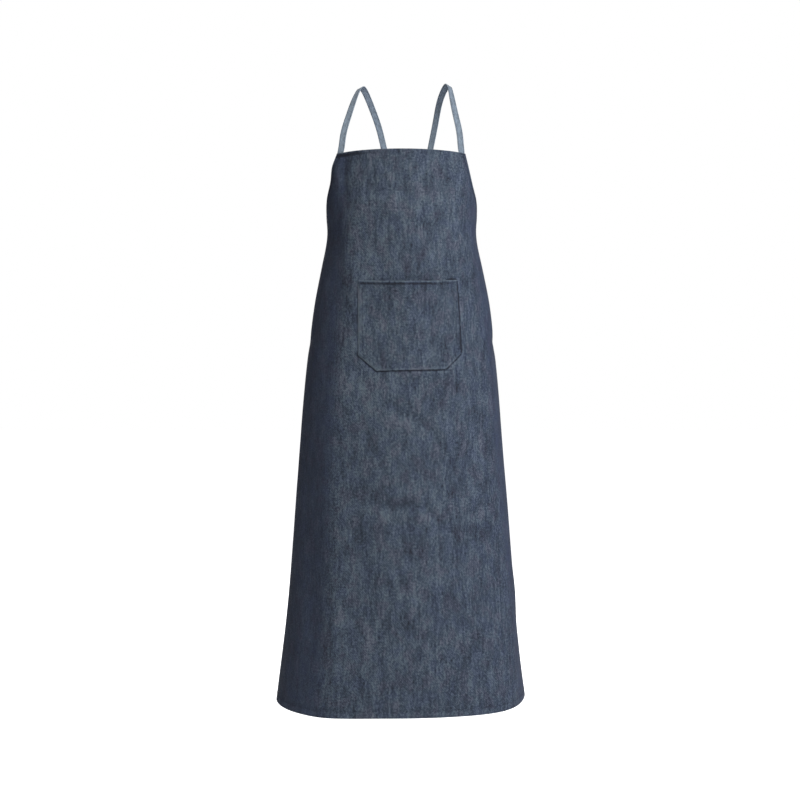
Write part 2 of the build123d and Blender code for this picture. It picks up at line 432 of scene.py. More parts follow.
def drape_shift(length, depth):
    """Shift of the cloth found by simulation, at places on the flat panel."""
    if DRAPE["shift"] is None:
        return 0.0
    share = np.clip(length / edge_length(depth), -1, 1)
    col = np.interp(share, DRAPE["cols"], np.arange(len(DRAPE["cols"])))
    row = np.interp(depth, DRAPE["rows"], np.arange(len(DRAPE["rows"])))
    c0 = np.clip(col.astype(int), 0, len(DRAPE["cols"]) - 2)
    r0 = np.clip(row.astype(int), 0, len(DRAPE["rows"]) - 2)
    u, v = (col - c0)[..., None], (row - r0)[..., None]
    field = DRAPE["shift"]
    upper = field[r0, c0] * (1 - u) + field[r0, c0 + 1] * u
    lower = field[r0 + 1, c0] * (1 - u) + field[r0 + 1, c0 + 1] * u
    return upper * (1 - v) + lower * v


def worn_base(length, depth):
    """Places on the flat panel put on the plain worn shape: points and outward directions."""
    width, thickness = half_sizes(depth)
    power = squareness(depth, length)
    across, back = section_point(width, thickness, power, wrap_angles(depth, length))
    # the hem hangs a little lower in front of the left knee
    droop = 0.0045 * band(length + 0.20, 0.13)
    droop = droop * rising(depth, 0.75, 0.317) ** 2
    points = np.stack((across, back, BIB_TOP - depth - droop), axis=-1)
    slope = power - 1
    out = np.stack(
        (
            np.sign(across) * (np.abs(across) / width) ** slope / width,
            np.sign(back) * (np.abs(back) / thickness) ** slope / thickness,
            np.zeros_like(across),
        ),
        axis=-1,
    )
    return points, out / np.linalg.norm(out, axis=-1, keepdims=True)


def worn_points(length, depth, inward=0.0):
    """Places on the flat panel put on the worn cloth, a distance inward from its face."""
    length, depth = np.broadcast_arrays(np.asarray(length, float), np.asarray(depth, float))
    points, out = worn_base(length, depth)
    lift = crease_height(length, depth) - inward
    return points + out * lift[..., None] + drape_shift(length, depth)


# ------------------------------------------------------------------ meshes


def linear(hexadecimal):
    """Linear RGBA of an sRGB hex colour."""
    parts = [int(hexadecimal[n:n + 2], 16) / 255 for n in (1, 3, 5)]
    return [p / 12.92 if p <= 0.04045 else ((p + 0.055) / 1.055) ** 2.4 for p in parts] + [1.0]


def new_piece(name, vertices, faces, material, uvs=None):
    """Mesh object with smooth faces that point outwards, its materials and its UV map."""
    mesh = bpy.data.meshes.new(name)
    mesh.from_pydata([tuple(v) for v in vertices], [], faces)
    if uvs is not None:
        layer = mesh.uv_layers.new(name="UVMap")
        corner = np.empty(len(mesh.loops), int)
        mesh.loops.foreach_get("vertex_index", corner)
        layer.data.foreach_set("uv", np.asarray(uvs, np.float32)[corner].ravel())
    for item in material if isinstance(material, (list, tuple)) else [material]:
        mesh.materials.append(item)
    mesh.polygons.foreach_set("use_smooth", [True] * len(mesh.polygons))
    mesh.validate()
    obj = bpy.data.objects.new(name, mesh)
    bpy.context.scene.collection.objects.link(obj)
    return obj


def grid_faces(rows, cols, start=0, flip=False):
    """Quads of a grid of rows by cols vertices, numbered from start."""
    r, c = np.meshgrid(np.arange(rows - 1), np.arange(cols - 1), indexing="ij")
    a = (start + r * cols + c).ravel()
    quads = np.stack((a, a + 1, a + cols + 1, a + cols), axis=1)
    return (quads[:, ::-1] if flip else quads).tolist()


def rim_indices(rows, cols):
    """Vertex numbers round the edge of a grid, in order."""
    top = list(range(cols))
    right = [r * cols + cols - 1 for r in range(1, rows)]
    bottom = [(rows - 1) * cols + c for c in range(cols - 2, -1, -1)]
    left = [r * cols for r in range(rows - 2, 0, -1)]
    return top + right + bottom + left


def closed_sheet(name, outer, inner, rim, uvs, materials):
    """Closed piece of cloth between an outer and an inner grid of points, with a rounded rim."""
    rows, cols = outer.shape[:2]
    count = rows * cols
    ring = rim_indices(rows, cols)
    vertices = np.concatenate((outer.reshape(-1, 3), inner.reshape(-1, 3), rim))
    faces = grid_faces(rows, cols)
    faces += grid_faces(rows, cols, count, flip=True)
    loop = len(ring)
    for n in range(loop):
        m = (n + 1) % loop
        faces.append([ring[m], ring[n], 2 * count + n, 2 * count + m])
        faces.append([2 * count + m, 2 * count + n, count + ring[n], count + ring[m]])
    flat = uvs.reshape(-1, 2)
    obj = new_piece(name, vertices, faces, materials, np.concatenate((flat, flat, flat[ring])))
    if len(obj.data.materials) > 1:
        index = np.zeros(len(obj.data.polygons), int)
        inside = (rows - 1) * (cols - 1)
        index[inside:2 * inside] = 1
        obj.data.polygons.foreach_set("material_index", index)
    return obj


def swept_piece(name, rings, uvs, material):
    """Closed solid through rings of points, capped at both ends."""
    steps, around = rings.shape[:2]
    vertices = rings.reshape(-1, 3)
    faces = []
    for n in range(steps - 1):
        for m in range(around):
            k = (m + 1) % around
            near, far = n * around, (n + 1) * around
            faces.append([near + m, near + k, far + k, far + m])
    faces.append(list(range(around))[::-1])
    faces.append([(steps - 1) * around + m for m in range(around)])
    obj = new_piece(name, vertices, faces, material, uvs.reshape(-1, 2))
    face_outwards(obj)
    return obj


def face_outwards(obj):
    """Recalculates a closed piece's faces so that they point outwards."""
    mesh = bmesh.new()
    mesh.from_mesh(obj.data)
    bmesh.ops.recalc_face_normals(mesh, faces=mesh.faces)
    mesh.to_mesh(obj.data)
    mesh.free()


def paint(obj, name, values):
    """Stores a number for each vertex."""
    attribute = obj.data.attributes.new(name, "FLOAT", "POINT")
    attribute.data.foreach_set("value", np.asarray(values, np.float32).ravel())


# ------------------------------------------------------------------ materials


def add(tree, kind, inputs=None, **values):
    """Adds a node with its settings, input values and links: a link is a node's output socket."""
    made = tree.nodes.new(kind)
    for key, value in values.items():
        setattr(made, key, value)
    for key, value in (inputs or {}).items():
        if isinstance(value, bpy.types.NodeSocket):
            tree.links.new(value, made.inputs[key])
        else:
            made.inputs[key].default_value = value
    return made


def new_material(name):
    """Empty node material and its tree."""
    material = bpy.data.materials.new(name)
    material.use_nodes = True
    material.node_tree.nodes.clear()
    return material, material.node_tree


def painted(tree, name):
    """A number painted on the mesh."""
    return add(tree, "ShaderNodeAttribute", attribute_name=name).outputs["Fac"]


def colour_ramp(tree, value, *stops):
    """Colours of a value, through stops of a position and a colour."""
    made = add(tree, "ShaderNodeValToRGB", {"Fac": value})
    elements = made.color_ramp.elements
    elements[0].position, elements[0].color = stops[0]
    elements[1].position, elements[1].color = stops[-1]
    for position, colour in stops[1:-1]:
        elements.new(position).color = colour
    return made.outputs[0]


def mixed(tree, share, first, second, blend="MIX"):
    """Two colours mixed, or the first one multiplied by a share of the second."""
    inputs = {"Fac": share, "Color1": first, "Color2": second}
    return add(tree, "ShaderNodeMixRGB", inputs, blend_type=blend).outputs[0]


def toned(colour, factor):
    """A linear colour made darker or paler."""
    return [min(1, part * factor) for part in colour[:3]] + [1]


def finish_material(tree, colour, height, roughness, sheen, bump_distance):
    """Cloth shader: rough, with a little sheen from loose fibres."""
    bump = add(
        tree, "ShaderNodeBump", {"Height": height, "Distance": bump_distance, "Strength": 0.8}
    )
    shader = add(
        tree,
        "ShaderNodeBsdfPrincipled",
        {
            "Base Color": colour,
            "Roughness": roughness,
            "Normal": bump.outputs[0],
            "Sheen Weight": sheen,
            "Sheen Roughness": 0.5,
            "Specular IOR Level": 0.25,
        },
    )
    add(tree, "ShaderNodeOutputMaterial", {"Surface": shader.outputs[0]})


def weave_position(tree):
    """Place on the cloth in millimetres: x across the warp, y along it."""
    uv = add(tree, "ShaderNodeUVMap", uv_map="UVMap")
    return add(
        tree, "ShaderNodeMapping", {"Vector": uv.outputs[0], "Scale": (1000, 1000, 1000)}
    ).outputs[0]


def streak_noise(tree, place, across, along, detail, seed):
    """Noise drawn out along the warp: sizes of its cells in millimetres."""
    scaled = add(
        tree,
        "ShaderNodeMapping",
        {"Vector": place, "Scale": (1 / across, 1 / along, 1), "Location": (seed, seed * 1.7, 0)},
    )
    return add(
        tree,
        "ShaderNodeTexNoise",
        {"Vector": scaled.outputs[0], "Scale": 1.0, "Detail": detail, "Roughness": 0.6},
        noise_dimensions="2D",
    ).outputs["Fac"]


def weighted(tree, items, bias=0.0):
    """Sum of sockets times weights, plus a bias."""
    total = None
    for socket, weight in items:
        total = add(
            tree, "ShaderNodeMath",
            {0: socket, 1: weight, 2: bias if total is None else total},
            operation="MULTIPLY_ADD",
        ).outputs[0]
    return total


def denim(name, base, dark, pale):
    """Cotton denim twill, ring-dyed indigo, in three shades.

    Slubby warp streaks run down the cloth, the twill line climbs to the right, and the threads'
    white core shows where ridges are worn; painted marks on the mesh also draw painted shade
    and painted highlights into it.
    """
    material, tree = new_material(name)
    place = weave_position(tree)
    slubs = streak_noise(tree, place, 5.0, 28.0, 2.0, 11.0)
    threads = streak_noise(tree, place, 4.0, 6.0, 2.0, 31.0)
    grain = streak_noise(tree, place, 3.4, 3.2, 1.5, 57.0)
    patch = streak_noise(tree, place, 14.0, 40.0, 2.0, 71.0)
    cloud = streak_noise(tree, place, 42.0, 70.0, 3.0, 83.0)
    tint = streak_noise(tree, place, 26.0, 34.0, 2.0, 97.0)
    # the real twill line is 0.8 mm apart, drawn 2.2 mm apart so that it shows
    twill = add(
        tree,
        "ShaderNodeTexWave",
        {"Vector": place, "Scale": 0.143, "Distortion": 1.6, "Detail": 1.0, "Detail Scale": 0.35},
        wave_type="BANDS",
        bands_direction="DIAGONAL",
    ).outputs["Fac"]
    level = weighted(
        tree,
        (
            (slubs, 0.56), (threads, 0.60), (grain, 0.86),
            (patch, 0.62), (cloud, 0.45), (twill, 0.10),
        ),
        bias=-1.10,
    )
    # neps: small knots of undyed cotton
    knots = streak_noise(tree, place, 1.3, 1.5, 0.0, 131.0)
    nep = add(
        tree, "ShaderNodeMapRange", {"Value": knots, "From Min": 0.74, "From Max": 0.82}
    ).outputs[0]
    # painted shade on the side strips: the cloth there is drawn more even and a little darker
    fresh = painted(tree, "fresh")
    level = mixed(tree, fresh, level, (0.42, 0.42, 0.42, 1))
    # painted marks: worn places and painted highlights make the cloth paler, dark lines and painted
    # shade make it darker
    marks = ((painted(tree, "wear_and_painted_highlight"), 0.55), (painted(tree, "dark_lines_and_painted_shade"), -0.85), (nep, 0.5))
    level = weighted(tree, marks, bias=level)
    colour = colour_ramp(
        tree, level, (0.05, linear(dark)), (0.48, linear(base)), (0.95, linear(pale))
    )
    hue = colour_ramp(
        tree, tint, (0.35, linear("#f4f8ff")), (0.5, linear("#f6fdfa")), (0.65, linear("#fff8f9"))
    )
    colour = mixed(tree, 1.0, colour, hue, "MULTIPLY")
    # painted shade on the side strips, a little bluer
    colour = mixed(tree, fresh, colour, linear("#eaeaff"), "MULTIPLY")
    height = weighted(tree, ((slubs, 0.5), (threads, 0.4), (grain, 0.35), (twill, 0.35)))
    finish_material(tree, colour, height, 0.88, 0.04, 0.5 * MM)
    return material


def cotton_tape(name, colour):
    """Folded cotton twill tape, laundered grey-blue: fine lengthwise ribs, uneven laundering, and
    painted shading per run.
    """
    material, tree = new_material(name)
    place = weave_position(tree)
    ribs = streak_noise(tree, place, 0.9, 7.0, 2.0, 5.0)
    patches = streak_noise(tree, place, 7.0, 16.0, 2.0, 15.0)
    grain = streak_noise(tree, place, 1.1, 1.3, 2.0, 25.0)
    # the painted shading of each run shifts its tone
    parts = ((ribs, 0.9), (patches, 0.7), (grain, 0.5), (painted(tree, "painted_shading"), 1.0))
    level = weighted(tree, parts, bias=-0.60)
    base = linear(colour)
    shades = colour_ramp(
        tree, level, (0.1, toned(base, 0.55)), (0.5, base), (0.9, toned(base, 1.35))
    )
    height = weighted(tree, ((ribs, 0.6), (grain, 0.5)))
    finish_material(tree, shades, height, 0.85, 0.15, 0.3 * MM)
    return material


def sewing_thread(name, colour):
    """Twisted polyester sewing thread: smoother than the cotton, with a slight gloss."""
    material, tree = new_material(name)
    place = add(tree, "ShaderNodeTexCoord").outputs["Object"]
    twist = add(
        tree, "ShaderNodeTexNoise", {"Vector": place, "Scale": 900.0, "Detail": 2.0}
    ).outputs["Fac"]
    base = linear(colour)
    shades = colour_ramp(tree, twist, (0.0, toned(base, 0.6)), (1.0, toned(base, 1.6)))
    finish_material(tree, shades, twist, 0.55, 0.0, 0.1 * MM)
    return material


class APRON_OT_materials(bpy.types.Operator):
    """Denim, tape and thread"""

    bl_idname = "apron.materials"
    bl_label = "Materials"

    def execute(self, context):
        cloth = settings("cloth")
        MATERIALS["denim"] = denim("cotton_denim_twill", cloth.warp, cloth.shade, cloth.slub)
        MATERIALS["reverse"] = denim(
            "cotton_denim_reverse", cloth.reverse, cloth.warp, cloth.reverse_slub
        )
        MATERIALS["tape"] = cotton_tape("cotton_twill_tape", settings("straps").colour)
        MATERIALS["thread"] = sewing_thread("polyester_sewing_thread", settings("thread").colour)
        return {"FINISHED"}


# ------------------------------------------------------------------ stitches


def stitch_tree():
    """Geometry nodes that lay stitches along a line."""
    tree = bpy.data.node_groups.new("stitch_row", "GeometryNodeTree")
    face = tree.interface
    face.new_socket("Line", in_out="INPUT", socket_type="NodeSocketGeometry")
    for label, value in (("Pitch", 0.0037), ("Stitch", 0.003), ("Thread", 0.0006)):
        face.new_socket(label, in_out="INPUT", socket_type="NodeSocketFloat").default_value = value
    face.new_socket("Material", in_out="INPUT", socket_type="NodeSocketMaterial")
    face.new_socket("Stitches", in_out="OUTPUT", socket_type="NodeSocketGeometry")
    given = add(tree, "NodeGroupInput").outputs
    points = add(
        tree, "GeometryNodeCurveToPoints", {"Curve": given["Line"], "Length": given["Pitch"]},
        mode="LENGTH",
    ).outputs
    bead = add(tree, "GeometryNodeMeshUVSphere", {"Segments": 6, "Rings": 4, "Radius": 0.5})
    size = add(
        tree, "ShaderNodeCombineXYZ",
        {"X": given["Thread"], "Y": given["Thread"], "Z": given["Stitch"]},
    )
    turn = add(
        tree, "FunctionNodeAlignRotationToVector", {"Vector": points["Tangent"]}, axis="Z"
    )
    laid = add(
        tree, "GeometryNodeInstanceOnPoints",
        {
            "Points": points["Points"],
            "Instance": bead.outputs["Mesh"],
            "Rotation": turn.outputs[0],
            "Scale": size.outputs[0],
        },
    )
    real = add(tree, "GeometryNodeRealizeInstances", {"Geometry": laid.outputs[0]})
    dressed = add(
        tree, "GeometryNodeSetMaterial",
        {"Geometry": real.outputs[0], "Material": given["Material"]},
    )
    add(tree, "NodeGroupOutput", {"Stitches": dressed.outputs[0]})
    return tree


def stitch_rows(name, lines, body=None):
    """One mesh of stitches along open lines of points, riding on a body if one is given."""
    thread = settings("thread")
    curve = bpy.data.curves.new(name + "_line", "CURVE")
    curve.dimensions = "3D"
    for points in lines:
        spline = curve.splines.new("POLY")
        spline.points.add(len(points) - 1)
        flat = np.concatenate((points, np.ones((len(points), 1))), axis=1)
        spline.points.foreach_set("co", flat.astype(np.float32).ravel())
    source = bpy.data.objects.new(name + "_line", curve)
    bpy.context.scene.collection.objects.link(source)
    tree = bpy.data.node_groups.get("stitch_row") or stitch_tree()
    modifier = source.modifiers.new("stitches", "NODES")
    modifier.node_group = tree
    values = {
        "Pitch": thread.stitch + thread.gap,
        "Stitch": thread.stitch,
        "Thread": thread.thickness,
        "Material": MATERIALS["thread"],
    }
    for item in tree.interface.items_tree:
        if item.in_out == "INPUT" and item.name in values:
            modifier[item.identifier] = values[item.name]
    graph = bpy.context.evaluated_depsgraph_get()
    mesh = bpy.data.meshes.new_from_object(source.evaluated_get(graph))
    mesh.name = name
    obj = bpy.data.objects.new(name, mesh)
    bpy.context.scene.collection.objects.link(obj)
    bpy.data.objects.remove(source)
    mesh.polygons.foreach_set("use_smooth", [True] * len(mesh.polygons))
    if body:
        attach(obj, body)
    return obj


# ------------------------------------------------------------------ body panel and hems

PANEL_ROWS = 240  # stations of the panel's mesh, down and across
PANEL_COLS = 192
# parts of the panel with a finer mesh: from, to, and how much finer, down and across
FINE_ROWS = (
    (0.0, 0.012, 4.0),
    (0.245, 0.435, 3.2),
    (0.49, 0.545, 1.0),
    (0.66, 0.74, 1.0),
    (1.045, 1.067, 1.5),
)
FINE_COLS = ((-0.245, 0.31, 2.4), (0.31, 0.45, 0.8), (-1.0, -0.97, 1.5), (0.97, 1.0, 1.5))
HEM_THICKNESS = 0.0016  # the turned-in layers
HEM_STEP = 0.0017  # how far a hem rises where it lies over another
HEM_LAP = 0.016  # length over which it comes down again
HEM_EDGE = slice(1, 8)  # the points of a hem's outline on its rubbed fold


def graded(low, high, count, spans):
    """Stations from low to high, closer together inside the spans."""
    fine = np.linspace(low, high, 4000)
    density = 1 + sum(more * ((fine >= start) & (fine <= end)) for start, end, more in spans)
    run = np.concatenate(([0], np.cumsum((density[1:] + density[:-1]) / 2)))
    return np.interp(np.linspace(0, run[-1], count), run, fine)


def edge_line(kind, count):
    """Places along one edge of the flat panel and the direction into the cloth."""
    cloth = settings("cloth")
    if kind == "bib_hem":
        length = np.linspace(-cloth.bib_half, cloth.bib_half, count)
        return length, np.zeros(count), np.zeros(count), np.ones(count)
    if kind == "bottom_hem":
        length = np.linspace(-cloth.half_width, cloth.half_width, count)
        return length, np.full(count, PANEL_LENGTH), np.zeros(count), -np.ones(count)
    sign = -1 if kind.endswith("left") else 1
    if kind.startswith("side"):
        depth = np.linspace(cloth.armhole, PANEL_LENGTH, count)
        length = np.full(count, sign * cloth.half_width)
        return length, depth, np.full(count, -sign), np.zeros(count)
    depth = np.linspace(0, cloth.armhole, count)
    length = edge_length(depth)
    slope = np.gradient(length, depth)
    norm = np.sqrt(1 + slope**2)
    return sign * length, depth, -sign / norm, slope / norm


def hem_profile(width, rise):
    """Outline of a turned hem: distance from the cloth's edge, and distance inward."""
    cloth = settings("cloth").thickness
    inner = cloth + HEM_THICKNESS + rise
    # a little over the face, round the fold, then along the inner side to its free edge and back
    bulge = inner / 2
    points = [(0.0016, -0.00005), (0.0006, -0.00012)]
    for angle in np.linspace(-75, 75, 7):
        a = math.radians(angle)
        points.append((0.0003 - 0.0010 * math.cos(a), bulge + (bulge + 0.0001) * math.sin(a)))
    points += [(0.0020, inner), (width - 0.0009, inner), (width - 0.0002, inner - 0.0003)]
    points += [(width, inner - 0.0009), (width - 0.0002, cloth + rise * 0.6), (0.0020, cloth * 0.6)]
    return np.array(points)


def make_hem(kind, width, rises=(0.0, 0.0)):
    """Turned hem along one edge, lifted at its ends where it lies over another hem."""
    count = 60 if kind == "bib_hem" else 170
    length, depth, in_length, in_depth = edge_line(kind, count)
    rings, uvs = [], []
    travel = np.concatenate(([0], np.cumsum(np.hypot(np.diff(length), np.diff(depth)))))
    total = travel[-1]
    for n in range(count):
        start = max(0.0, 1 - travel[n] / HEM_LAP) * rises[0]
        end = max(0.0, 1 - (total - travel[n]) / HEM_LAP) * rises[1]
        profile = hem_profile(width, min(1.0, (start + end) * 1.6) * HEM_STEP)
        across = length[n] + profile[:, 0] * in_length[n]
        down = depth[n] + profile[:, 0] * in_depth[n]
        rings.append(worn_points(across, down, profile[:, 1]))
        uvs.append(np.stack((across, -down), axis=1))
    obj = swept_piece("apron_" + kind, np.array(rings), np.array(uvs), MATERIALS["denim"])
    wear_and_painted_highlight = np.zeros((count, len(profile)))
    wear_and_painted_highlight[:, HEM_EDGE] = 0.28
    paint(obj, "wear_and_painted_highlight", wear_and_painted_highlight)
    paint(obj, "dark_lines_and_painted_shade", np.zeros_like(wear_and_painted_highlight))
    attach(obj, "apron")
    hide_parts(kind)
    return obj


def panel_marks(length, depth):
    """Worn places and painted highlights, dark lines and painted shade, and painted shade on the
    side strips of the panel's face.
    """
    gap = edge_length(depth) - np.abs(length)
    to_hem = PANEL_LENGTH - depth
    dark_lines_and_painted_shade = 0.25 * band(gap - 0.009, 0.003)
    dark_lines_and_painted_shade += 0.09 * band(to_hem - settings("cloth").bottom_hem, 0.003)
    rubbed_and_painted_highlight = 0.10 * band(to_hem - 0.006, 0.004)
    # each pressed crease gets a painted shade line along it and a painted highlight on its lip
    # below
    for *crease, lift in PRESSED:
        along, beside = crease_frame(length, depth, *crease)
        fade = -lift / 0.0026 * np.exp(-(along**2))
        dark_lines_and_painted_shade += 0.17 * fade * np.exp(-(beside**2))
        rubbed_and_painted_highlight += 0.13 * fade * np.exp(-((beside - 1.6) ** 2))
    for across, down, half_long, half_high, amount in RUBBED:
        rubbed_and_painted_highlight += amount * band(length - across, half_long) * band(depth - down, half_high)
    # painted shadow under the bib's top edge, towards the left corner, where the edge curls over
    # its hem
    left_corner_shadow = 1 / (1 + np.exp((length + 0.070) / 0.014))
    dark_lines_and_painted_shade += 0.75 * left_corner_shadow * band(depth - 0.0055, 0.0028)
    pocket_shadow, pocket_painted_highlight = marks_round_pocket(length, depth)
    # painted shade beyond the lengthwise folds at the body's sides: the cloth there is drawn
    # darker, bluer and more even
    left_fold = -0.098 - 0.045 * depth
    right_fold = 0.125 + 0.120 * depth
    beyond = np.maximum(left_fold - length, length - right_fold)
    fresh = rising(beyond, 0, 0.024) * (0.52 - 0.36 * rising(beyond, 0.10, 0.08))
    return np.clip(rubbed_and_painted_highlight + pocket_painted_highlight, 0, 1), np.clip(dark_lines_and_painted_shade + pocket_shadow, 0, 1), fresh


def marks_round_pocket(length, depth):
    """The pocket's painted shadow on the panel, and a painted highlight beside its right side."""
    across, down = pocket_flat(length, depth)
    inside = pocket_gap(across, down)
    right = rising(across, 0, 0.02)
    right_or_foot = np.clip(right + rising(down, 0.13, 0.01), 0, 1)
    # painted shadow just outside the pocket's right side and foot
    shadow = 0.85 * band(inside + 0.0010, 0.0020) * right_or_foot * (down > 0.0)
    # painted shade: a short dark line above the mouth, where the pull of the right mouth tack
    # creases the cloth
    pull = band(down + 0.0025, 0.0020) * rising(across, 0.070, 0.012)
    shadow += 0.7 * pull * (across < settings("pocket").mouth_half)
    # painted highlight: a pale line a little outside the pocket's right side
    return shadow, 0.35 * band(inside + 0.0055, 0.0022) * right


DRAPE_ROWS = 92  # stations of the simulated sheet, down and across
DRAPE_COLS = 86
DRAPE_FRAMES = 26
DRAPE_LIMIT = 0.0024  # the most a fold may stand off the worn shape


def blurred(field, passes):
    """Grid of vectors smoothed by repeated averaging with its neighbours."""
    for _ in range(passes):
        for axis in (0, 1):
            last = field.shape[axis] - 1
            before = field.take([0, *range(last)], axis)
            after = field.take([*range(1, last + 1), last], axis)
            field = (before + 2 * field + after) / 4
    return field


class APRON_OT_drape(bpy.types.Operator):
    """Lets a coarse copy of the panel hang as cloth, and keeps the small folds that it forms"""

    bl_idname = "apron.drape"
    bl_label = "Drape"

    def execute(self, context):
        rows, cols = np.linspace(0, PANEL_LENGTH, DRAPE_ROWS), np.linspace(-1, 1, DRAPE_COLS)
        depth = rows[:, None]
        length, depth = np.broadcast_arrays(cols[None, :] * edge_length(depth), depth)
        start = worn_points(length, depth)
        sheet = new_piece(
            "drape_sheet", start.reshape(-1, 3), grid_faces(DRAPE_ROWS, DRAPE_COLS),
            MATERIALS["denim"],
        )
        self.hold(sheet, length, depth)
        self.hang(sheet, context.scene)
        graph = context.evaluated_depsgraph_get()
        moved = sheet.evaluated_get(graph).to_mesh()
        places = np.empty(len(moved.vertices) * 3, np.float32)
        moved.vertices.foreach_get("co", places)
        context.scene.frame_set(1)
        bpy.data.objects.remove(sheet)
        shift = places.reshape(start.shape).astype(float) - start
        # only the small folds are kept: the worn shape itself comes from the sections
        folds = shift - blurred(shift, 40)
        size = np.linalg.norm(folds, axis=-1, keepdims=True) + 1e-9
        folds *= DRAPE_LIMIT * np.tanh(size / DRAPE_LIMIT) / size
        # the bias edges beside the arms are pulled tight by the straps
        beside_arms = rising(np.abs(length), 0.10, 0.04) * band(depth - 0.17, 0.08)
        folds *= (rising(depth, 0, 0.06) * (1 - 0.85 * beside_arms))[..., None]
        DRAPE.update(rows=rows, cols=cols, shift=folds)
        return {"FINISHED"}

    def hold(self, sheet, length, depth):
        """Holds the bib's top edge and the waist corners, and the rest lightly on the form."""
        cloth = settings("cloth")
        group = sheet.vertex_groups.new(name="held")
        corner = np.hypot(edge_length(depth) - np.abs(length), depth - cloth.armhole)
        weight = np.full(length.shape, 0.10)
        weight[(depth < cloth.bib_hem + 0.002) | (corner < 0.03)] = 1.0
        for value in np.unique(weight):
            group.add(np.flatnonzero(weight == value).tolist(), float(value), "REPLACE")

    def hang(self, sheet, scene):
        """Runs the cloth, cut a little too large for the form so that it buckles softly."""
        modifier = sheet.modifiers.new("cloth", "CLOTH")
        modifier.collision_settings.use_collision = False
        values = modifier.settings
        values.quality = 8
        values.mass = 0.12
        values.tension_stiffness = values.compression_stiffness = 40
        values.shear_stiffness = 25
        values.bending_stiffness = 1.2
        values.vertex_group_mass = "held"
        values.pin_stiffness = 1.2
        values.shrink_min = -0.014
        values.effector_weights.gravity = 0.12
        modifier.point_cache.frame_start = 1
        modifier.point_cache.frame_end = DRAPE_FRAMES
        for number in range(1, DRAPE_FRAMES + 1):
            scene.frame_set(number)


class APRON_OT_body(bpy.types.Operator):
    """Body panel: bib and skirt in one piece of denim, with its turned hems"""

    bl_idname = "apron.body"
    bl_label = "Body Panel and Hems"

    def execute(self, context):
        cloth = settings("cloth")
        depth = graded(0, PANEL_LENGTH, PANEL_ROWS, FINE_ROWS)[:, None]
        length = graded(-1, 1, PANEL_COLS, FINE_COLS)[None, :] * edge_length(depth)
        length, depth = np.broadcast_arrays(length, depth)
        outer = worn_points(length, depth)
        inner = worn_points(length, depth, cloth.thickness)
        ring = rim_indices(PANEL_ROWS, PANEL_COLS)
        rim = (outer.reshape(-1, 3)[ring] + inner.reshape(-1, 3)[ring]) / 2
        uvs = np.stack((length, -depth), axis=-1)
        panel = closed_sheet(
            "apron_body_panel", outer, inner, rim, uvs, [MATERIALS["denim"], MATERIALS["reverse"]]
        )
        # only the face has marks, not the inner side and the rim
        nothing = np.zeros(length.size + len(ring))
        marks = panel_marks(length.ravel(), depth.ravel())
        for name, values in zip(("wear_and_painted_highlight", "dark_lines_and_painted_shade", "fresh"), marks):
            paint(panel, name, np.concatenate((values, nothing)))
        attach(panel, "apron")
        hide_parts("body_panel")
        hems = [
            make_hem("armhole_hem_left", cloth.armhole_hem, (0, 0.5)),
            make_hem("armhole_hem_right", cloth.armhole_hem, (0, 0.5)),
            make_hem("side_hem_left", cloth.side_hem),
            make_hem("side_hem_right", cloth.side_hem),
            make_hem("bib_hem", cloth.bib_hem, (0.8, 0.8)),
            make_hem("bottom_hem", cloth.bottom_hem, (1, 1)),
        ]
        strips = (np.arange(400) + 0.5) * PANEL_LENGTH / 400
        area = float(np.mean(2 * edge_length(strips))) * PANEL_LENGTH
        return {"FINISHED"}


# ------------------------------------------------------------------ pocket


def pocket_flat(length, depth):
    """Across and down on the pocket, of places on the flat panel."""
    pocket = settings("pocket")
    c, s = math.cos(pocket.tilt), math.sin(pocket.tilt)
    x, y = length - pocket.centre, depth - pocket.top
    return x * c - y * s, x * s + y * c


def panel_place(across, down):
    """Place on the flat panel of places on the pocket."""
    pocket = settings("pocket")
    c, s = math.cos(pocket.tilt), math.sin(pocket.tilt)
    return pocket.centre + across * c + down * s, pocket.top - across * s + down * c


def pocket_side(down):
    """Half width between the pocket's straight sides at distances below its mouth."""
    pocket = settings("pocket")
    return pocket.mouth_half + (pocket.widest_half - pocket.mouth_half) * down / pocket.side


def pocket_half(down):
    """Half width of the pocket at distances below its mouth."""
    pocket = settings("pocket")
    share = (down - pocket.side) / (pocket.height - pocket.side)
    lower = pocket.widest_half + (pocket.foot_half - pocket.widest_half) * share
    return np.where(down <= pocket.side, pocket_side(down), lower)


def pocket_gap(across, down):
    """Distance inside the pocket's side, cut corner or foot; below zero outside it."""
    pocket = settings("pocket")
    x = np.abs(across)
    run = pocket.widest_half - pocket.foot_half
    rise = pocket.height - pocket.side
    size = math.hypot(run, rise)
    cut = ((pocket.widest_half - x) * rise - (down - pocket.side) * run) / size
    return np.minimum(np.minimum(pocket_side(down) - x, cut), pocket.height - down)


def pocket_stand_off(across, down):
    """How far the pocket's inner face stands off the panel."""
    pocket = settings("pocket")
    half = pocket_half(np.clip(down, 0, pocket.height))
    share = np.clip(1 - (across / half) ** 2, 0, 1)
    belly = share**1.5 * np.clip(1 - down / pocket.height, 0, 1)
    return 0.0002 + pocket.gape * belly


def pocket_droop(across, down):
    """How far the loose mouth sags below a straight line; below zero at its raised corners."""
    pocket = settings("pocket")
    share = across / pocket.mouth_half
    sag = 0.0022 + 0.0013 * share - 0.0047 * share**2
    return sag * np.clip(1 - down / pocket.height, 0, 1) ** 1.5


def pocket_points(across, down, proud):
    """Points of the pocket, a distance proud of its inner face."""
    length, depth = panel_place(across, down + pocket_droop(across, down))
    return worn_points(length, depth, -(pocket_stand_off(across, down) + proud))


SEAM_ALLOWANCE = 0.011  # cloth turned under along the pocket's sides and foot


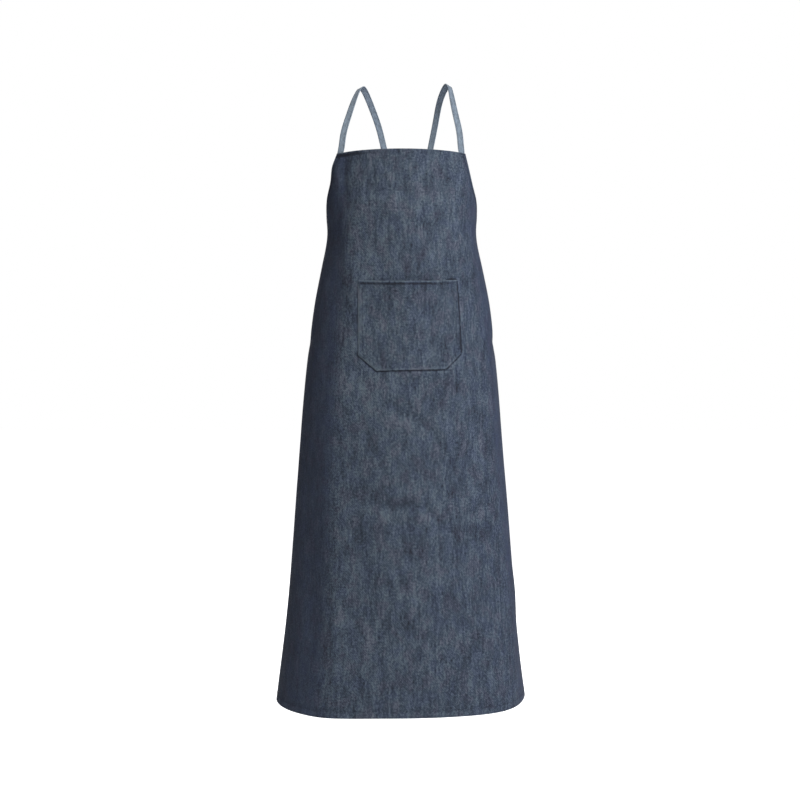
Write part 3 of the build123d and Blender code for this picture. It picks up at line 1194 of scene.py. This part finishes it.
class APRON_OT_pocket(bpy.types.Operator):
    """Patch pocket with cut bottom corners, and its mouth hem"""

    bl_idname = "apron.pocket"
    bl_label = "Pocket"

    def execute(self, context):
        cloth, pocket = settings("cloth"), settings("pocket")
        straight = np.linspace(0, pocket.side, 56)
        cut = np.linspace(pocket.side, pocket.height, 21)[1:]
        down = np.concatenate((straight, cut))[:, None]
        across = np.linspace(-1, 1, 86)[None, :] * pocket_half(down)
        across, down = np.broadcast_arrays(across, down)
        # the seam allowance turned under makes the edges two layers thick
        gap = pocket_gap(across, down)
        turned = rising(SEAM_ALLOWANCE - gap, 0, 0.002)
        puff = 0.0007 * band(gap - 0.005, 0.004)
        # pressed flatter along the left side
        off_left = np.clip(1 + (across + 0.06) / 0.03, 0, 1)
        raised = 0.0008 * turned * (0.25 + 0.75 * off_left)
        outer = pocket_points(across, down, cloth.thickness + raised + puff)
        inner = pocket_points(across, down, 0.0)
        ring = rim_indices(*down.shape)
        edge_across, edge_down = across.ravel()[ring], down.ravel()[ring]
        middle = np.array((0.0, pocket.height / 2))
        away = np.stack((edge_across, edge_down), axis=1) - middle
        away /= np.linalg.norm(away, axis=1, keepdims=True)
        rim = pocket_points(
            edge_across + away[:, 0] * 0.0009,
            edge_down + away[:, 1] * 0.0009,
            cloth.thickness * 0.6,
        )
        length, depth = panel_place(across, down)
        # the patch is cut from another place of the cloth, so its streaks don't run on
        uvs = np.stack((length + 0.31, -depth + 0.17), axis=-1)
        patch = closed_sheet(
            "apron_pocket_patch", outer, inner, rim, uvs, [MATERIALS["denim"], MATERIALS["reverse"]]
        )
        nothing = np.zeros(across.size)
        for name, values in zip(("wear_and_painted_highlight", "dark_lines_and_painted_shade"), self.marks(across, down, gap)):
            paint(patch, name, np.concatenate((values, nothing, values[ring])))
        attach(patch, "apron")
        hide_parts("pocket_patch")
        hem = self.mouth_hem()
        return {"FINISHED"}

    def marks(self, across, down, gap):
        """Folded edges drawn pale, partly worn and partly painted highlight, and painted shadows
        under the mouth and along the right side.
        """
        on_side = down < settings("pocket").side
        uneven = 0.8 + 0.2 * np.sin(across * 410) * np.sin(across * 137 + 1)
        uneven = uneven + 0.1 * np.sin(down * 300)
        left, foot = rising(-across, 0, 0.02) * on_side, rising(down, 0.13, 0.01)
        # the left side, the foot and the mouth are drawn pale: partly worn folded edges, partly
        # painted highlight
        wear_and_painted_highlight = band(gap - 0.0012, 0.0019) * (1.6 * left + 0.55 * foot) * uneven
        wear_and_painted_highlight += 0.85 * band(down, 0.0020) * uneven
        wear_and_painted_highlight += 0.14 * band(across + 0.060, 0.045) * band(down - 0.08, 0.07)
        # painted shadow under the mouth's fold, and along the right side
        below_mouth = band(down - 0.0044, 0.0021)
        shade = below_mouth * uneven * (0.85 - 0.5 * rising(across, 0.04, 0.03))
        shade += 0.8 * band(gap, 0.0016) * rising(across, 0, 0.02) * on_side
        return np.clip(wear_and_painted_highlight, 0, 1).ravel(), np.clip(shade, 0, 1).ravel()

    def mouth_hem(self):
        """The hem turned in along the mouth, seen from above."""
        pocket = settings("pocket")
        cols = 70
        reach = pocket.mouth_half - 0.012
        across = np.linspace(-reach, reach, cols)
        profile = ((0.0008, 0.0), (0.0, -0.0008), (0.0010, -0.0016))
        profile += ((pocket.hem - 0.001, -0.0016), (pocket.hem, -0.0008), (pocket.hem - 0.001, 0.0))
        rings, uvs = [], []
        for x in across:
            down = np.array([p[0] for p in profile])
            proud = np.array([p[1] for p in profile])
            rings.append(pocket_points(np.full(len(profile), x), down, proud))
            uvs.append(np.stack((np.full(len(profile), x), -down), axis=1))
        hem = swept_piece(
            "apron_pocket_mouth_hem", np.array(rings), np.array(uvs), MATERIALS["reverse"]
        )
        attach(hem, "apron")
        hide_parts("pocket_mouth_hem")
        return hem


# ------------------------------------------------------------------ straps


def spline_through(points, spacing):
    """Evenly spaced points on a smooth curve through points, with their directions."""
    points = np.asarray(points, float)
    chord = np.concatenate(([0], np.cumsum(np.linalg.norm(np.diff(points, axis=0), axis=1))))
    count = len(points)
    steps = np.diff(chord)
    matrix = np.zeros((count, count))
    right = np.zeros((count, 3))
    matrix[0, 0] = matrix[-1, -1] = 1.0
    for n in range(1, count - 1):
        matrix[n, n - 1:n + 2] = steps[n - 1], 2 * (steps[n - 1] + steps[n]), steps[n]
        change = (points[n + 1] - points[n]) / steps[n] - (points[n] - points[n - 1]) / steps[n - 1]
        right[n] = 6 * change
    bend = np.linalg.solve(matrix, right)
    fine = np.linspace(0, chord[-1], 1200)
    at = np.clip(np.searchsorted(chord, fine) - 1, 0, count - 2)
    h = steps[at][:, None]
    a = (chord[at + 1] - fine)[:, None] / h
    b = (fine - chord[at])[:, None] / h
    curve = a * points[at] + b * points[at + 1]
    curve += ((a**3 - a) * bend[at] + (b**3 - b) * bend[at + 1]) * h**2 / 6
    run = np.concatenate(([0], np.cumsum(np.linalg.norm(np.diff(curve, axis=0), axis=1))))
    stations = np.linspace(0, run[-1], max(8, int(run[-1] / spacing)))
    placed = np.stack([np.interp(stations, run, curve[:, k]) for k in range(3)], axis=1)
    along = np.gradient(placed, axis=0)
    along /= np.linalg.norm(along, axis=1, keepdims=True)
    return placed, along, stations


def form_normal(points):
    """Outward direction of the shoulder form: an ellipsoid above its centre, upright below."""
    out = (points - FORM_CENTRE) / FORM_HALF**2
    out[:, 2] = np.maximum(0, out[:, 2])
    return out / np.linalg.norm(out, axis=1, keepdims=True)


def strap_line(side):
    """Points of a whole strap: bib end, shoulder loop, back run; and where its parts divide."""
    cloth, straps = settings("cloth"), settings("straps")
    sign = -1 if side == "left" else 1
    behind = cloth.thickness + HEM_THICKNESS + 0.0002 + straps.thickness / 2
    # the left strap is sewn 2 mm further out than the right one
    inset = straps.width / 2 - (0.0020 if side == "left" else 0.0)
    sewn = np.array((straps.sewn, straps.sewn / 2, 0.0005))
    bib_end = worn_points(sign * (edge_length(sewn) - inset), sewn, behind)
    depth = cloth.armhole + np.array((0.004, 0.018, straps.sewn))
    waist_inset = cloth.side_hem / 2 + 0.002
    waist_end = worn_points(-sign * (edge_length(depth) - waist_inset), depth, behind)
    loop = np.array(LOOP_LINES[side])
    back = np.array((BACK_PIVOTS[side], CROSSINGS[side]))
    return np.concatenate((bib_end, loop, back, waist_end)), len(bib_end) + APEX_INDEX


def tape_rings(points, along, stations, width, thickness):
    """Cross-sections of a flat tape with rounded, slightly thicker edges."""
    out = form_normal(points)
    # just above the bib the tape turns its face to the front
    sewn = settings("straps").sewn
    turn = rising(stations, sewn, 0.012) * rising(sewn + 0.14 - stations, 0, 0.09)
    out += turn[:, None] * np.array((0.0, -1.1, 0.0))
    out -= along * np.sum(out * along, axis=1, keepdims=True)
    out /= np.linalg.norm(out, axis=1, keepdims=True)
    across = np.cross(along, out)
    half, rise = width / 2, thickness / 2
    # outline in half widths and half thicknesses, with a ridge along each folded edge
    shape = ((-1, 0), (-0.97, 0.72), (-0.88, 1.0), (-0.70, 0.72), (0, 0.86), (0.70, 0.72))
    shape += ((0.88, 1.0), (0.97, 0.72), (1, 0))
    shape += tuple((-x, -y) for x, y in shape[1:-1])
    shape = np.array(shape)
    ripple = 1 + 0.05 * np.sin(stations * 210) + 0.04 * np.sin(stations * 97 + 1)
    rings = points[:, None, :] + across[:, None, :] * (shape[None, :, 0:1] * half)
    rings = rings + out[:, None, :] * (shape[None, :, 1:2] * rise * ripple[:, None, None])
    girth = shape[:, 0] * half
    uvs = np.stack(np.broadcast_arrays(girth[None, :], stations[:, None]), axis=-1)
    return rings, uvs, across, out


class APRON_OT_straps(bpy.types.Operator):
    """Two flat straps from the bib corners over the shoulders to the opposite waist corners"""

    bl_idname = "apron.straps"
    bl_label = "Straps"

    def execute(self, context):
        for side in ("left", "right"):
            self.strap(side)
        return {"FINISHED"}

    def strap(self, side):
        """One strap as two tapes that meet on top of the shoulder."""
        straps = settings("straps")
        line, apex = strap_line(side)
        points, along, stations = spline_through(line, 0.004)
        top = int(np.argmin(np.linalg.norm(points - line[apex], axis=1)))
        rings, uvs, across, out = tape_rings(
            points, along, stations, straps.width, straps.thickness
        )
        name = "apron_" + side + "_strap_"
        to_top, from_top = slice(top + 1), slice(top, None)
        front = swept_piece(name + "front", rings[to_top], uvs[to_top], MATERIALS["tape"])
        back = swept_piece(name + "back", rings[from_top], uvs[from_top], MATERIALS["tape"])
        # painted shading: each run is drawn paler or darker to even out how the light falls on it
        here, there = STRAP_PAINTED_SHADING[side]
        beyond = stations - stations[top]
        painted_shading = here + (there - here) * np.clip(beyond / 0.05 + 0.5, 0, 1)
        painted_shading = painted_shading * np.clip(2.5 - beyond / 0.1, 0, 1)
        painted_shading = painted_shading[:, None] * np.ones(rings.shape[1])
        for piece, part in ((front, to_top), (back, from_top)):
            paint(piece, "painted_shading", painted_shading[part])
        # stitches run along both edges of the tape, on both faces
        lines = [
            points + across * edge * straps.width / 2 * 0.72 + out * face * straps.thickness * 0.42
            for edge in (-1, 1)
            for face in (-1, 1)
        ]
        front_rows = stitch_rows(name + "front_stitches", [line[to_top] for line in lines])
        back_rows = stitch_rows(name + "back_stitches", [line[from_top] for line in lines])
        for piece in (front, front_rows):
            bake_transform(piece)
        for piece in (back, back_rows):
            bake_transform(piece)
        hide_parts(side + "_strap_bib_end", side + "_strap_loop")
        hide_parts(side + "_strap_back")


# ------------------------------------------------------------------ sewing


SKIN = 0.0001  # how far stitches stand off the cloth
TACK_LENGTH = 0.009
TACK_HALF_WIDTH = 0.0009
TACK_TURNS = 26


class APRON_OT_sewing(bpy.types.Operator):
    """Stitch rows along the hems and round the pocket, and the bar tacks"""

    bl_idname = "apron.sewing"
    bl_label = "Stitching"

    def execute(self, context):
        cloth, pocket = settings("cloth"), settings("pocket")
        hem_inside = cloth.thickness + HEM_THICKNESS + SKIN
        edges = (
            ("bib_hem", cloth.bib_hem - 0.003, 120),
            ("armhole_hem_left", cloth.armhole_hem - 0.002, 160),
            ("armhole_hem_right", cloth.armhole_hem - 0.002, 160),
            ("side_hem_left", cloth.side_hem - 0.002, 220),
            ("side_hem_right", cloth.side_hem - 0.002, 220),
            ("bottom_hem", cloth.bottom_hem - 0.002, 300),
        )
        for kind, inset, count in edges:
            length, depth, in_length, in_depth = edge_line(kind, count)
            across, down = length + inset * in_length, depth + inset * in_depth
            keep = (depth >= 0) & (np.abs(across) < edge_length(down) - 0.001)
            rows = [
                worn_points(across[keep], down[keep], inward) for inward in (-SKIN, hem_inside)
            ]
            stitch_rows("apron_" + kind + "_stitches", rows, "apron")
        rows = [self.pocket_row(0.0022), self.pocket_row(0.0085)]
        stitch_rows("apron_pocket_stitches", rows, "apron")
        across = np.linspace(-pocket.mouth_half + 0.004, pocket.mouth_half - 0.004, 90)
        mouth = pocket_points(across, np.full(90, pocket.hem - 0.002), cloth.thickness + SKIN)
        stitch_rows("apron_pocket_mouth_stitches", [mouth], "apron")
        self.tacks()
        return {"FINISHED"}

    def pocket_row(self, inset):
        """One row down the side, round the cut corners and up the other side."""
        cloth, pocket = settings("cloth"), settings("pocket")
        corners = [
            (-pocket.mouth_half + inset, 0.002),
            (-pocket.widest_half + inset, pocket.side - 0.4 * inset),
            (-pocket.foot_half + 0.35 * inset, pocket.height - inset),
            (pocket.foot_half - 0.35 * inset, pocket.height - inset),
            (pocket.widest_half - inset, pocket.side - 0.4 * inset),
            (pocket.mouth_half - inset, 0.002),
        ]
        places = []
        for (x0, y0), (x1, y1) in zip(corners, corners[1:]):
            steps = max(2, int(math.hypot(x1 - x0, y1 - y0) / 0.004))
            share = np.linspace(0, 1, steps, endpoint=False)
            places.append(np.stack((x0 + share * (x1 - x0), y0 + share * (y1 - y0)), axis=1))
        across, down = np.concatenate(places + [np.array([corners[-1]])]).T
        return pocket_points(across, down, cloth.thickness + 0.0009)

    def tacks(self):
        """Close zigzag bars at the strap ends and at the pocket's mouth."""
        cloth, pocket, straps = settings("cloth"), settings("pocket"), settings("straps")
        inset = straps.width / 2 + 0.0015
        on_bib, on_waist = 0.008, cloth.armhole + 0.018
        strap_bars, pocket_bars = [], []
        for sign in (-1, 1):
            middle = sign * (float(edge_length(on_bib)) - inset)
            strap_bars.append(self.bar(middle, on_bib))
            strap_bars.append(self.bar(sign * (cloth.half_width - 0.008), on_waist))
            length, depth = panel_place(sign * (pocket.mouth_half - 0.003), 0.006)
            pocket_bars.append(self.bar(length, depth, True, 0.0022))
        for node, bars in (("strap_tacks", strap_bars), ("pocket_tacks", pocket_bars)):
            piece = stitch_rows("apron_" + node, bars, "apron")
            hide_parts(node)

    def bar(self, length, depth, upright=False, proud=0.0):
        """Zigzag line of a bar tack, across or down the cloth."""
        share = np.linspace(-0.5, 0.5, TACK_TURNS) * TACK_LENGTH
        side = np.where(np.arange(TACK_TURNS) % 2, TACK_HALF_WIDTH, -TACK_HALF_WIDTH)
        across, down = (side, share) if upright else (share, side)
        return worn_points(length + across, depth + down, -0.0004 - proud)


# ------------------------------------------------------------------ stage


FLOOR_HALF = 30.0
WHITE = (1, 1, 1, 1)


class APRON_OT_stage(bpy.types.Operator):
    """Pale floor, soft studio light and the camera"""

    bl_idname = "apron.stage"
    bl_label = "Floor, Light and Camera"

    def execute(self, context):
        stage = settings("stage")
        scene = context.scene
        self.floor(HEM_LEVEL - stage.drop)
        self.world(scene)
        self.area("key_light", (1.5, -2.75, 1.0), 1.5, 116.0, (1.0, 0.985, 0.96))
        self.area("right_light", (2.9, -0.4, -0.3), 1.4, 10.0, (0.16, 0.30, 1.0))
        self.area("top_light", (0.4, -0.4, 2.3), 2.0, 16.0, (1.0, 1.0, 1.0))
        self.area("back_light", (0.0, 3.0, 0.5), 2.4, 60.0, (1.0, 1.0, 1.0))
        scene.view_settings.view_transform = "Standard"
        camera = bpy.data.cameras.new("camera")
        camera.lens = stage.lens
        camera.sensor_width = 36.0
        holder = bpy.data.objects.new("camera", camera)
        holder.location = (stage.aside, -stage.distance, -stage.eye)
        holder.rotation_euler = (math.pi / 2, 0.0, 0.0)
        scene.collection.objects.link(holder)
        scene.camera = holder
        return {"FINISHED"}

    def floor(self, level):
        """White paper that fades into the white behind it."""
        material, tree = new_material("white_studio_paper")
        paper = add(tree, "ShaderNodeBsdfDiffuse", {"Color": linear("#e8e8e8")}).outputs[0]
        glow = add(tree, "ShaderNodeEmission", {"Color": WHITE, "Strength": 1.0}).outputs[0]
        bright = add(tree, "ShaderNodeAddShader", {0: paper, 1: glow}).outputs[0]
        surface = self.seen_apart(tree, paper, bright)
        add(tree, "ShaderNodeOutputMaterial", {"Surface": surface})
        corners = [(-1, -1), (1, -1), (1, 1), (-1, 1)]
        vertices = [(x * FLOOR_HALF, y * FLOOR_HALF, level) for x, y in corners]
        new_piece("stage_floor", vertices, [[0, 1, 2, 3]], material)

    def world(self, scene):
        """White behind the apron, and a faint bluish light all round."""
        world = bpy.data.worlds.new("pale_studio")
        world.use_nodes = True
        tree = world.node_tree
        tree.nodes.clear()
        behind = add(tree, "ShaderNodeBackground", {"Color": WHITE, "Strength": 1.0})
        around = add(
            tree, "ShaderNodeBackground", {"Color": (0.84, 0.84, 1, 1), "Strength": 0.13}
        )
        both = self.seen_apart(tree, around.outputs[0], behind.outputs[0])
        add(tree, "ShaderNodeOutputWorld", {"Surface": both})
        scene.world = world

    def seen_apart(self, tree, lit, seen):
        """One shader for the light that it gives and another where the camera sees it."""
        ray = add(tree, "ShaderNodeLightPath").outputs["Is Camera Ray"]
        return add(tree, "ShaderNodeMixShader", {0: ray, 1: lit, 2: seen}).outputs[0]

    def area(self, name, place, size, power, colour):
        """Square soft light aimed at the middle of the apron."""
        light = bpy.data.lights.new(name, "AREA")
        light.size, light.energy, light.color = size, power, colour
        holder = bpy.data.objects.new(name, light)
        holder.location = place
        aim = Vector((0.0, 0.0, (BIB_TOP + HEM_LEVEL) / 2)) - Vector(place)
        holder.rotation_euler = aim.to_track_quat("-Z", "Y").to_euler()
        bpy.context.scene.collection.objects.link(holder)


# ------------------------------------------------------------------ the add-on

GROUPS = (
    ("cloth", ApronCloth),
    ("pocket", ApronPocket),
    ("straps", ApronStraps),
    ("thread", ApronThread),
    ("stage", ApronStage),
)
OPERATORS = (
    APRON_OT_materials,
    APRON_OT_stage,
    APRON_OT_drape,
    APRON_OT_body,
    APRON_OT_pocket,
    APRON_OT_straps,
    APRON_OT_sewing,
)


class APRON_PT_panel(bpy.types.Panel):
    """Lists the apron's pieces and sizes"""

    bl_idname = "APRON_PT_panel"
    bl_label = "Denim Apron"
    bl_space_type = "VIEW_3D"
    bl_region_type = "UI"
    bl_category = "Apron"

    def draw(self, context):
        for operator in OPERATORS:
            self.layout.operator(operator.bl_idname)
        for name, group in GROUPS:
            box = self.layout.box()
            box.label(text=name.title())
            for key in group.__annotations__:
                box.prop(settings(name), key)


def register():
    for name, group in GROUPS:
        bpy.utils.register_class(group)
        setattr(bpy.types.Scene, "apron_" + name, bpy.props.PointerProperty(type=group))
    for item in OPERATORS + (APRON_PT_panel,):
        bpy.utils.register_class(item)


def unregister():
    for item in reversed(OPERATORS + (APRON_PT_panel,)):
        bpy.utils.unregister_class(item)
    for name, group in reversed(GROUPS):
        delattr(bpy.types.Scene, "apron_" + name)
        bpy.utils.unregister_class(group)


def main():
    register()
    for operator in OPERATORS:
        category, action = operator.bl_idname.split(".")
        getattr(getattr(bpy.ops, category), action)()


if __name__ == "__main__":
    main()
